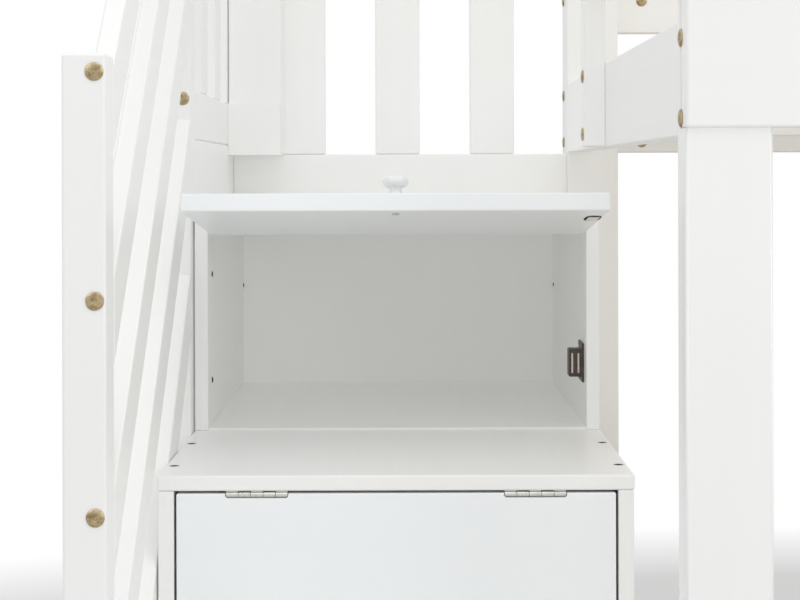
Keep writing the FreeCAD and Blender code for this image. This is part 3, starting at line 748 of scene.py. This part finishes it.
@dataclass
class HingeShape:
    """A butt hinge: knuckles round a pin and two pressed leaves with screws."""

    length: float = 63.5 * MM
    offset: float = 142.6 * MM
    knuckles: int = 5
    radius: float = 2.75 * MM
    pin: float = 1.2 * MM
    bore: float = 1.25 * MM
    gap: float = 0.3 * MM
    top_gap: float = 2.5 * MM
    leaf: float = 1.2 * MM
    width: float = 15 * MM

    def knuckle(self, start: float, end: float) -> Surface:
        """One tube on the x axis with its outer edges broken."""
        edge = 0.35 * MM
        bore, outer = self.bore, self.radius
        profile = np.array([(bore, start), (outer - edge, start), (outer, start + edge),
                            (outer, end - edge), (outer - edge, end), (bore, end)])
        return ring_shape(profile, 36).turned(facing((1, 0, 0)))

    def spans(self, moving: int) -> list[Pair]:
        """Start and end of each knuckle of one leaf: part 0 is fixed, part 1 moves."""
        pitch = self.length / self.knuckles
        starts = -self.length / 2 + np.arange(moving, self.knuckles, 2) * pitch
        return [(start + self.gap / 2, start + pitch - self.gap / 2)
                for start in starts]

    def webs(self, moving: int) -> list[Surface]:
        """The strips that roll from the leaf into its knuckles."""
        high = HINGE_DROP - self.top_gap + self.leaf if moving else HINGE_DROP
        low = high - self.leaf
        return [soft_board((start, self.pin * 0.2, low),
                           (end, self.radius + MM, high), 0.25 * MM, 2)
                for start, end in self.spans(moving)]

    def plate(self, moving: int) -> Surface:
        """The flat of one leaf."""
        bottom = HINGE_DROP - (self.top_gap if moving else self.leaf)
        start = self.radius + (self.gap if moving else -self.gap)
        return soft_board((-self.length / 2, start, bottom),
                          (self.length / 2, self.width, bottom + self.leaf),
                          0.3 * MM, 2)

    def half(self, moving: int) -> Surface:
        """One leaf with its knuckles about the axis."""
        tubes = [self.knuckle(start, end) for start, end in self.spans(moving)]
        return join([self.plate(moving)] + self.webs(moving) + tubes)

    def rod(self) -> Surface:
        """The pin with slightly domed ends."""
        half = self.length / 2
        profile = np.array([(0, -half), (self.pin * 0.7, -half),
                            (self.pin, -half + 0.4 * MM), (self.pin, half - 0.4 * MM),
                            (self.pin * 0.7, half), (0, half)])
        return turned_shape(profile, 24).turned(facing((1, 0, 0)))

    def pair(self, surface: Surface) -> Surface:
        """A hinge piece at both hinges of a door."""
        return join([surface.moved((side * self.offset, 0, 0)) for side in (-1, 1)])


@dataclass
class FlapDoors:
    """The three flap doors with their knobs, hinges, strikes and catches."""

    thick: float = 19 * MM
    width: float = 450 * MM
    height: float = 247 * MM
    lowest_height: float = 234 * MM
    top: float = 1.3 * MM
    edge: float = 1.8 * MM
    notch_clear: float = 0.6 * MM
    notch_corner: float = 3 * MM
    knob_distance: float = 24 * MM
    knob_screw: Pair = (4 * MM, 2 * MM)
    strike: Vec3 = (17 * MM, 1.2 * MM, 45 * MM)
    strike_inset: float = 2 * MM
    strike_edge: float = 2.2 * MM
    strike_distance: float = 72 * MM
    strike_screw: Pair = (2.6 * MM, 0.2 * MM)
    room: float = 5 * MM
    hinge: HingeShape = field(default_factory=HingeShape)
    knob: Knob = field(default_factory=Knob)

    def tall(self, step: Step) -> float:
        """Height of a step's door."""
        return self.lowest_height if step is STEPS[0] else self.height

    def inner(self) -> float:
        """How far the closed door's back lies behind the hinge axis."""
        return self.thick - HINGE_SETBACK

    def strike_centre(self, step: Step) -> np.ndarray:
        """Middle of the strike plate's back, on the inside of the closed door."""
        return np.array([self.width / 2 - self.strike_inset - self.strike[0] / 2,
                         self.inner(),
                         self.top - self.tall(step) + self.strike_distance])

    def notches(self) -> Surface:
        """Round-cornered tools that make room for the hinges."""
        half = self.hinge.length / 2 + self.notch_clear
        reach = self.hinge.radius + self.notch_clear
        tool = soft_board((-half, -HINGE_SETBACK - self.room, -reach),
                          (half, reach, self.top + self.room), self.notch_corner, 6)
        return self.hinge.pair(tool)

    def fittings(self, step: Step) -> Surface:
        """Moving leaves, strike plate and the knob's screw head, door closed."""
        inwards = facing((0, 1, 0))
        wide, deep, high = self.strike
        centre = self.strike_centre(step)
        rim = self.strike_edge
        half = np.array([wide / 2 - rim, 0, high / 2 - 2 * rim])
        plate = soft_board(centre - half, centre + half + (0, deep, 0), 0.35 * MM, 2)
        screws = [domed_screw(*self.strike_screw).turned(inwards).moved(
            centre + (0, deep, side * high * 0.3)) for side in (-1, 1)]
        head = domed_screw(*self.knob_screw).turned(inwards)
        head = head.moved((0, self.inner(),
                           self.top - self.tall(step) + self.knob_distance))
        return join([self.hinge.pair(self.hinge.half(1)), plate, head] + screws)

    def strike_rim(self, step: Step) -> Surface:
        """A dark oval ring under the strike plate, in the screws' near-black colour, its
        long axis upright.

        Each corner lies at the cosine and sine of its angle, raised to a small power
        that squares the ellipse a little, times half the width and half the height.
        """
        wide, deep, high = self.strike
        circle = wheel(48)
        squared = np.sign(circle) * np.abs(circle) ** 0.6 * (wide / 2, high / 2)
        outline = np.concatenate([squared, np.zeros((len(squared), 1))], -1)
        levels = ((1.0, 0.0), (1.0, 0.45 * deep), (0.96, 0.6 * deep))
        rings = np.stack([outline * share + (0, 0, level) for share, level in levels])
        return skin(rings).turned(facing((0, 1, 0))).moved(self.strike_centre(step))

    def build(self) -> None:
        """Make the doors and what is screwed to them."""
        for step in STEPS:
            low = self.top - self.tall(step)
            slab = soft_board((-self.width / 2, -HINGE_SETBACK, low),
                              (self.width / 2, self.inner(), self.top), self.edge)
            Piece(step.door + "_panel", step.hung(slab), Slot.DOOR, step.door,
                  (step.door,)).make(step.hung(self.notches()))
            knob = self.knob.surface().turned(facing((0, -1, 0)))
            knob = knob.moved((0, -HINGE_SETBACK, low + self.knob_distance))
            Piece(step.door + "_turned_knob", step.hung(knob), Slot.KNOB, step.door,
                  (step.door + "_knob",), Grain.Z).make()
            Piece(step.door + "_metal", step.hung(self.fittings(step)), Slot.NICKEL,
                  step.door, (step.door + "_fittings",)).make()
            Piece(step.door + "_strike_rim", step.hung(self.strike_rim(step)),
                  Slot.SCREW, step.door).make()
        for name, part, node in (
                ("hinge_leaves_metal", self.hinge.half(0), "hinge_fixed_leaves"),
                ("hinge_pins_metal", self.hinge.rod(), "hinge_pins")):
            both = self.hinge.pair(part)
            Piece(name, join([both.moved(step.axis()) for step in STEPS]), Slot.NICKEL,
                  stands_for=(node,)).make()


@dataclass
class Catches:
    """The moulded magnetic catches with their pole plates and screws."""

    size: Vec3 = (18.5 * MM, 42 * MM, 48 * MM)
    flange: float = 2.5 * MM
    lap: float = 1.5 * MM
    block_deep: float = 20 * MM
    block_half: float = 17 * MM
    pole_starts: Pair = (3 * MM, 10.5 * MM)
    pole_wide: float = 2 * MM
    pole_reach: float = 2 * MM
    pole_root: float = 4 * MM
    pole_half: float = 12 * MM
    screw: Pair = (3 * MM, 1.2 * MM)
    screw_back: float = 31 * MM
    screw_rise: float = 16 * MM

    def mould(self, low: np.ndarray) -> list[Surface]:
        """Flange and block of one catch, from its lowest corner."""
        high = low + np.array(self.size)
        middle = (low[2] + high[2]) / 2
        return [soft_board((high[0] - self.flange, low[1], low[2]), high, MM, 3),
                soft_board((low[0], low[1], middle - self.block_half),
                           (high[0] - self.lap, low[1] + self.block_deep,
                            middle + self.block_half), 1.6 * MM, 3)]

    def steel(self, low: np.ndarray) -> list[Surface]:
        """Two upright pole plates and two screw heads of one catch."""
        high = low[0] + self.size[0]
        middle = low[2] + self.size[2] / 2
        poles = [soft_board((low[0] + start, low[1] - self.pole_reach,
                             middle - self.pole_half),
                            (low[0] + start + self.pole_wide, low[1] + self.pole_root,
                             middle + self.pole_half), 0.3 * MM, 2)
                 for start in self.pole_starts]
        head = domed_screw(*self.screw).turned(facing((-1, 0, 0)))
        return poles + [head.moved((high - self.flange, low[1] + self.screw_back,
                                    middle + side * self.screw_rise))
                        for side in (-1, 1)]

    def build(self) -> None:
        """Make the three catches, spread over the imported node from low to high."""
        low, high = box_of("catch_magnets")
        room = (high - low - self.size) * (0, 1, 1)
        corners = [low + room * share for share in (0.0, 0.5, 1.0)]
        for name, make, slot, node in (
                ("catch_moulds", self.mould, Slot.CATCH, "catch_magnets"),
                ("catch_steel", self.steel, Slot.NICKEL, "catch_pole_plates")):
            parts = [part for corner in corners for part in make(corner)]
            Piece(name, join(parts), slot, stands_for=(node,)).make()


def domed_screw(radius: float, height: float, slot: float = 0.55,
                rings: int = 12, corners: int = 40) -> Surface:
    """A cross-head screw as a surface over polar coordinates.

    Its height is a dome, one minus the fourth power of the distance from the middle,
    less a cross of two smooth troughs that grow shallow towards the rim.

    Args:
        radius: Radius of the head.
        height: How far the dome stands up.
        slot: Depth of the cross as a share of the height.
        rings: Rings between the middle and the rim.
        corners: Points round the head.

    Returns:
        The closed head, its flat side on the origin.
    """
    share = np.linspace(0.06, 1.0, rings)[:, None]
    x, y = np.moveaxis(share[..., None] * wheel(corners), -1, 0)
    near, far = np.minimum(abs(x), abs(y)), np.maximum(abs(x), abs(y))
    arm_half, arm_slope, arm_end, arm_fade = 0.14, 0.08, 0.62, 0.16
    trough = (np.clip((arm_half - near) / arm_slope, 0, 1)
              * np.clip((arm_end - far) / arm_fade, 0, 1))
    fall, wall = 0.45, 0.35
    top = height * (1 - fall * share ** 4 - slot * trough)
    levels = np.concatenate([[np.zeros(corners)], [np.full(corners, height * wall)],
                             top[::-1]])
    order = [-1, -1, *range(rings - 1, -1, -1)]
    return skin(np.stack([x[order] * radius, y[order] * radius, levels], -1))


def socket_bolt(radius: float, height: float, corners: int = 48) -> Surface:
    """A low domed bolt head with a hexagon socket.

    The rings go up the side, over the dome as a quarter ellipse, to the socket's rim
    and down its six walls; the hexagon's radius is its apothem divided by the cosine
    of the angle from the nearest flat.

    Args:
        radius: Radius of the head.
        height: Height of the head.
        corners: Points round the head.

    Returns:
        The closed head, its flat side on the origin.
    """
    angle = np.arange(corners) * 2 * math.pi / corners
    sector = (angle + math.pi / 6) % (math.pi / 3) - math.pi / 6
    socket, bottom, wall, lean = 0.27, 0.35, 0.25, 0.78
    hexagon = radius * socket / np.cos(sector)
    turn = np.linspace(0, math.pi / 2, 9)[1:]
    reach = np.concatenate([[1, 1], np.cos(turn * lean)])[:, None] * radius
    reach = np.concatenate([np.broadcast_to(reach, (len(reach), corners)),
                            [hexagon * share for share in (1.10, 1.0, 0.97)]])
    level = np.concatenate([[0, wall], wall + (1 - wall) * np.sin(turn),
                            [1, 0.93, bottom]])
    level = np.broadcast_to(level[:, None] * height, reach.shape)
    return skin(np.stack([reach * np.cos(angle), reach * np.sin(angle), level], -1))


@dataclass
class StairGuard:
    """Newel, slanted bars and the tall post beside the landing."""

    bar_thick: float = 19 * MM
    bar_width: float = 52 * MM
    bars: int = 5
    slope: float = 1.1

    def bar(self, low: np.ndarray, run: float, tall: float) -> Surface:
        """A board sheared upwards: its height grows with the way towards the back."""
        flat = soft_board(low, low + np.array([self.bar_thick, run, tall]), BOARD_EDGE)
        points = flat.points.copy()
        points[:, 2] += self.slope * (points[:, 1] - low[1])
        return Surface(points, flat.faces)

    def build(self) -> None:
        """Make the guard beside the steps."""
        board_piece("newel_post", POST_EDGE)
        board_piece("landing_post", POST_EDGE)
        low, high = box_of("slanted_guard_bars")
        run = high[1] - low[1]
        tall = self.bar_width * math.hypot(1, self.slope)
        pitch = (high[2] - low[2] - tall - run * self.slope) / (self.bars - 1)
        bars = [self.bar(low + np.array([0, 0, number * pitch]), run, tall)
                for number in range(self.bars)]
        Piece("slanted_guard_bars_board", join(bars), Slot.PAINT, grain=Grain.Y,
              stands_for=("slanted_guard_bars",)).make()


@dataclass
class LandingGuard:
    """Skirts, rails, handrails, slats and corner post round the landing."""

    slat_width: float = 66 * MM
    side_slat_width: float = 60 * MM
    slats: int = 3
    block_edge: float = 1.6 * MM

    def build(self) -> None:
        """Make the guard beside and behind the landing."""
        for node in ("side_skirt", "side_rail", "side_handrail", "rear_skirt",
                     "rear_handrail", "corner_post"):
            board_piece("landing_" + node)
        board_piece("stair_link_post")
        board_piece("landing_corner_block", self.block_edge)
        for node, size, counts in (
                ("landing_side_slats", (None, self.side_slat_width, None),
                 (1, self.slats, 1)),
                ("landing_rear_slats", (self.slat_width, None, None),
                 (self.slats, 1, 1))):
            board_piece(node, boxes=boxes_in(node, size, counts))


@dataclass
class BedFrame:
    """Posts, rails, guard boards, cleats and slats of both bunks."""

    board_height: float = 98 * MM
    slat_width: float = 70 * MM
    slats: int = 13
    slat_edge: float = 1.6 * MM
    cleat: float = 25 * MM
    cleat_edge: float = 1.2 * MM
    slack: float = 0.05 * MM
    past: float = 5 * MM

    def rail_notches(self, node: str, side: str) -> Surface:
        """Square tools the size of the long rails where they lap a post."""
        low, high = box_of(node)
        slack = np.array([0, self.slack, self.slack])
        tools = []
        for bunk in ("lower", "upper"):
            start, end = box_of("%s_%s_rail" % (bunk, side))
            start[0], end[0] = low[0] - self.past, high[0] + self.past
            tools.append(soft_board(start - slack, end + slack, 0.4 * MM, 2))
        return join(tools)

    def build(self) -> None:
        """Make the bed."""
        for side in ("front", "rear"):
            for end in ("stair", "far"):
                post = "%s_%s_post" % (side, end)
                board_piece(post, POST_EDGE, tools=self.rail_notches(post, side))
        for bunk in ("lower", "upper"):
            for side in ("front", "rear", "stair_end", "far_end"):
                board_piece("%s_%s_rail" % (bunk, side))
            node = bunk + "_bunk_slats"
            board_piece(node, self.slat_edge, Slot.SLAT,
                        boxes_in(node, (self.slat_width, None, None),
                                 (self.slats, 1, 1)))
        for side in ("front", "rear", "far_end", "stair_end"):
            node = side + "_guard_boards"
            board_piece(node, boxes=boxes_in(node, (None, None, self.board_height),
                                             (1, 1, 2)))
        board_piece("entry_batten")
        board_piece("slat_cleats", self.cleat_edge,
                    boxes=boxes_in("slat_cleats", (None, self.cleat, self.cleat),
                                   (1, 2, 2)))


@dataclass
class Fasteners:
    """Screws of the stairs and brass bolts of the guards and the bed."""

    bolt_radius: float = 8 * MM
    bolt_height: float = 2.2 * MM
    tread_screw: float = 6.1 * MM
    cells: float = 1e5

    def solids(self, node: str) -> list[Box]:
        """Lowest and highest corner of each separate solid of a node.

        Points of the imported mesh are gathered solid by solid: each triangle passes
        the lowest label among its corners on until nothing changes.
        """
        mesh = FRAME["nodes"][node].data
        mesh.calc_loop_triangles()
        points = np.empty(len(mesh.vertices) * 3)
        mesh.vertices.foreach_get("co", points)
        corners = np.empty(len(mesh.loop_triangles) * 3, np.int32)
        mesh.loop_triangles.foreach_get("vertices", corners)
        cells = np.round(points.reshape(-1, 3) * self.cells).astype(np.int64)
        places, same = np.unique(cells, axis=0, return_inverse=True)
        corners = same.reshape(-1)[corners]
        label = np.arange(len(places))
        while True:
            lowest = label[corners.reshape(-1, 3)].min(1)
            new = label.copy()
            np.minimum.at(new, corners, np.repeat(lowest, 3))
            new = new[new]
            if np.array_equal(new, label):
                break
            label = new
        spots = [places[label == group] / self.cells for group in np.unique(label)]
        return [(spot.min(0), spot.max(0)) for spot in spots]

    def faced(self, box: Box, shape: Surface, way: Vec3) -> Surface:
        """Stand a head on the face of a solid that lies opposite to its direction."""
        low, high = box
        foot = (low + high) / 2 - np.array(way) * (high - low) / 2
        return shape.turned(facing(way)).moved(foot)

    def build(self) -> None:
        """Make every screw and bolt head; a solid's thin side tells where it faces."""
        shape = socket_bolt(self.bolt_radius, self.bolt_height)
        bolts = []
        for low, high in self.solids("bolt_heads"):
            way = -np.eye(3)[(high - low).argmin()]
            bolts.append(self.faced((low, high), shape, tuple(way)))
        Piece("bolt_heads_brass", join(bolts), Slot.BRASS,
              stands_for=("bolt_heads",)).make()
        centre = np.mean(box_of("step1_tread"), axis=0)[0]
        screws = []
        for low, high in self.solids("panel_screws"):
            size = high - low
            if size.argmin() == 2:
                shape, way = domed_screw(self.tread_screw, size[2]), (0, 0, 1)
            else:
                shape = domed_screw(size[1] / 2, size[0])
                way = (1 if low[0] < centre else -1, 0, 0)
            screws.append(self.faced((low, high), shape, way))
        Piece("panel_screws_steel", join(screws), Slot.SCREW,
              stands_for=("panel_screws",)).make()


# Stage


@dataclass
class Studio:
    """Camera, floor and soft light."""

    eye: Vec3 = (-0.959, -1.799, 0.849)
    focal: float = 68.58
    shift: Pair = (-0.00625, -0.15625)
    roll: float = 0.0028
    ambient: float = 0.60
    floor_tone: Vec3 = (0.86, 0.86, 0.855)
    floor_half: float = 9.0
    clear: Pair = (1.425, 1.875)
    middle: Vec3 = (-0.6, 0.3, 0.6)
    fills: list[Object] = field(default_factory=list)

    def camera(self) -> None:
        """A level camera that looks along y, shifted downwards as the photo is."""
        data = bpy.data.cameras.new("camera")
        data.sensor_width = 36.0
        data.lens = self.focal
        data.shift_x, data.shift_y = self.shift
        data.clip_start, data.clip_end = 0.05, 60.0
        camera = bpy.data.objects.new("camera", data)
        camera.location = self.eye
        camera.rotation_euler = (math.pi / 2, self.roll, 0)
        bpy.context.scene.collection.objects.link(camera)
        bpy.context.scene.camera = camera

    def lamp(self, name: str, place: Vec3, target: Vec3, size: Pair,
             power: float) -> Object:
        """A large soft rectangular lamp of some watts, facing a target."""
        data = bpy.data.lights.new(name, "AREA")
        data.shape = "RECTANGLE"
        data.size, data.size_y = size
        data.energy = power
        data.color = (1.0, 0.998, 0.992)
        lamp = bpy.data.objects.new(name, data)
        way = np.asarray(target, float) - np.asarray(place, float)
        flat = math.hypot(way[0], way[1])
        lamp.location = place
        lamp.rotation_euler = (math.pi / 2 + math.atan2(way[2], flat), 0,
                               math.atan2(way[1], way[0]) - math.pi / 2)
        bpy.context.scene.collection.objects.link(lamp)
        return lamp

    def world(self) -> None:
        """Even pale light all round, plain white for the camera and for reflections."""
        world = bpy.data.worlds.new("studio")
        bpy.context.scene.world = world
        world.use_nodes = True
        world.node_tree.nodes.clear()
        sky = Nodes(world.node_tree)
        ray = sky.add("LightPath").outputs
        plain = sky.reckon("MAXIMUM", ray["Is Camera Ray"], ray["Is Glossy Ray"])
        soft = sky.add("Background", Color=(0.985, 0.99, 1.0, 1.0),
                       Strength=self.ambient)
        white = sky.add("Background", Color=WHITE, Strength=1.0)
        sky.add("OutputWorld", Surface=sky.either_shader(plain, soft, white))

    def floor(self) -> None:
        """A pale floor that keeps the shadow and fades into the white further out."""
        x, y = np.array([(-1, 1, 1, -1), (-1, -1, 1, 1)]) * self.floor_half
        points = np.stack([x, y, np.full(4, -0.2 * MM)], -1)
        floor = mesh_object("studio_floor", Surface(points, [(0, 1, 2, 3)]))
        tree = Tree("studio_floor")
        place = tree.mapped((0.55, 1.0, 1.0))
        distance = tree.add("VectorMath", {"operation": "LENGTH"}, Vector=place)
        share = tree.reckon(
            "MULTIPLY", tree.span(distance.outputs["Value"], *self.clear, 0.0, 1.0),
            tree.add("LightPath").outputs["Is Camera Ray"])
        white = tree.add("Emission", Color=WHITE, Strength=1.0)
        tree.feed(tree.tree.nodes["Material Output"].inputs["Surface"],
                  tree.either_shader(share, tree.shader, white))
        floor.data.materials.append(tree.finish(
            Base_Color=(*self.floor_tone, 1.0), Roughness=0.9, Specular_IOR_Level=0.1))

    def build(self) -> None:
        """Set up camera, light and floor."""
        bpy.context.scene.view_settings.view_transform = "Standard"
        self.camera()
        self.world()
        self.floor()
        square = (2.4, 2.4)
        self.lamp("top_softbox", (-0.9, -1.6, 4.2), (-0.9, 0.2, 0.6), (3.4, 2.4), 26.0)
        self.lamp("right_softbox", (2.2, -2.6, 2.0), self.middle, square, 22.0)
        self.fills = [
            self.lamp("left_fill", (-3.6, -2.2, 3.0), self.middle, square, 30.0),
            self.lamp("right_fill", (2.2, -2.2, 3.0), self.middle, square, 34.0)]

    def shade_gaps(self) -> None:
        """Let only a few boards cast the fill lamps' shadows.

        The fills reach into the open compartment as the light of a white room does,
        yet the narrow gaps round the closed doors and beside the landing post stay
        dark.
        """
        closed = [thing for thing in bpy.data.objects
                  if thing.name.startswith(("step1_", "step2_", "hinge_"))
                  and thing.name.endswith(("_board", "_panel", "_metal"))]
        side = bpy.data.objects["step3_side_left_board"]
        for lamp, boards in zip(self.fills, ([], [side])):
            casting = bpy.data.collections.new("%s_shadows" % lamp.name)
            for thing in closed + boards:
                casting.objects.link(thing)
            lamp.light_linking.blocker_collection = casting


def main() -> None:
    """Build the studio and every sub-assembly in order, then shade the gaps."""
    logging.basicConfig(level=logging.INFO, format="%(message)s")
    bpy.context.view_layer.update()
    studio = Studio()
    studio.build()
    for part in (StairBoxes(), FlapDoors(), Catches(), StairGuard(), LandingGuard(),
                 BedFrame(), Fasteners()):
        part.build()
        LOG.info("%s is finished", type(part).__name__)
    studio.shade_gaps()


if __name__ == "__main__":
    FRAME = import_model()
    main()
